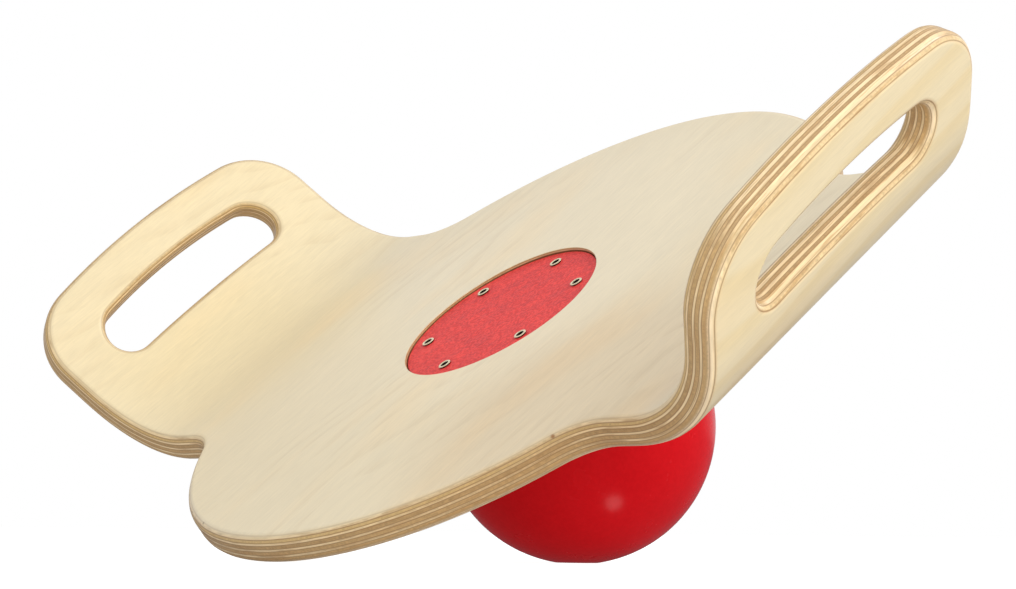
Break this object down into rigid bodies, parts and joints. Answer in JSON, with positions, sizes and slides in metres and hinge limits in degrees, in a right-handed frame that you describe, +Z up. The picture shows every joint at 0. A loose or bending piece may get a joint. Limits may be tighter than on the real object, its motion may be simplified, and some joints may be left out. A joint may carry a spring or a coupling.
{
  "type": "ball balance board",
  "caption": "Balance board: one moulded plywood sheet with two raised wings that hold hand slots, on an air-filled ball, tipped onto its front edge as it rests on a floor.",
  "frame": {"origin": "centre of the small flat on the ball where it stands on the floor, in the tipped rest pose", "axes": "+Z up from the floor, +X from the left handle to the right handle, -Y towards the lobe that touches the floor; the level board is got by turning the part -38.7 degrees about +X"},
  "size_m": [0.5994, 0.3004, 0.2449],
  "materials": {
    "plywood": "satin lacquered pale veneer, ply layers showing on the edges",
    "cover_plate": "matt grained red",
    "cup_washer": "pale brass",
    "screw": "black",
    "nut": "zinc plated",
    "clamp_disc": "matt dark grey",
    "ball": "glossy red",
    "valve_seat": "matt dark grey",
    "valve_plug": "white"
  },
  "bodies": {
    "board_and_ball": {"board": "plywood", "cover_plate": "cover_plate", "cup_washer_1": "cup_washer", "cup_washer_2": "cup_washer", "cup_washer_3": "cup_washer", "cup_washer_4": "cup_washer", "cup_washer_5": "cup_washer", "cup_washer_6": "cup_washer", "plate_screw_1": "screw", "plate_screw_2": "screw", "plate_screw_3": "screw", "plate_screw_4": "screw", "plate_screw_5": "screw", "plate_screw_6": "screw", "lock_nut_1": "nut", "lock_nut_2": "nut", "lock_nut_3": "nut", "lock_nut_4": "nut", "lock_nut_5": "nut", "lock_nut_6": "nut", "clamp_disc": "clamp_disc", "ball_shell": "ball", "valve_seat": "valve_seat"},
    "valve_plug": {"valve_plug": "valve_plug"}
  },
  "joints": [
    {"name": "valve_plug_pull", "type": "slide", "parent": "board_and_ball", "child": "valve_plug", "axis": [0, 0.893, 0.45], "range_m": [0, 0.02]}
  ]
}
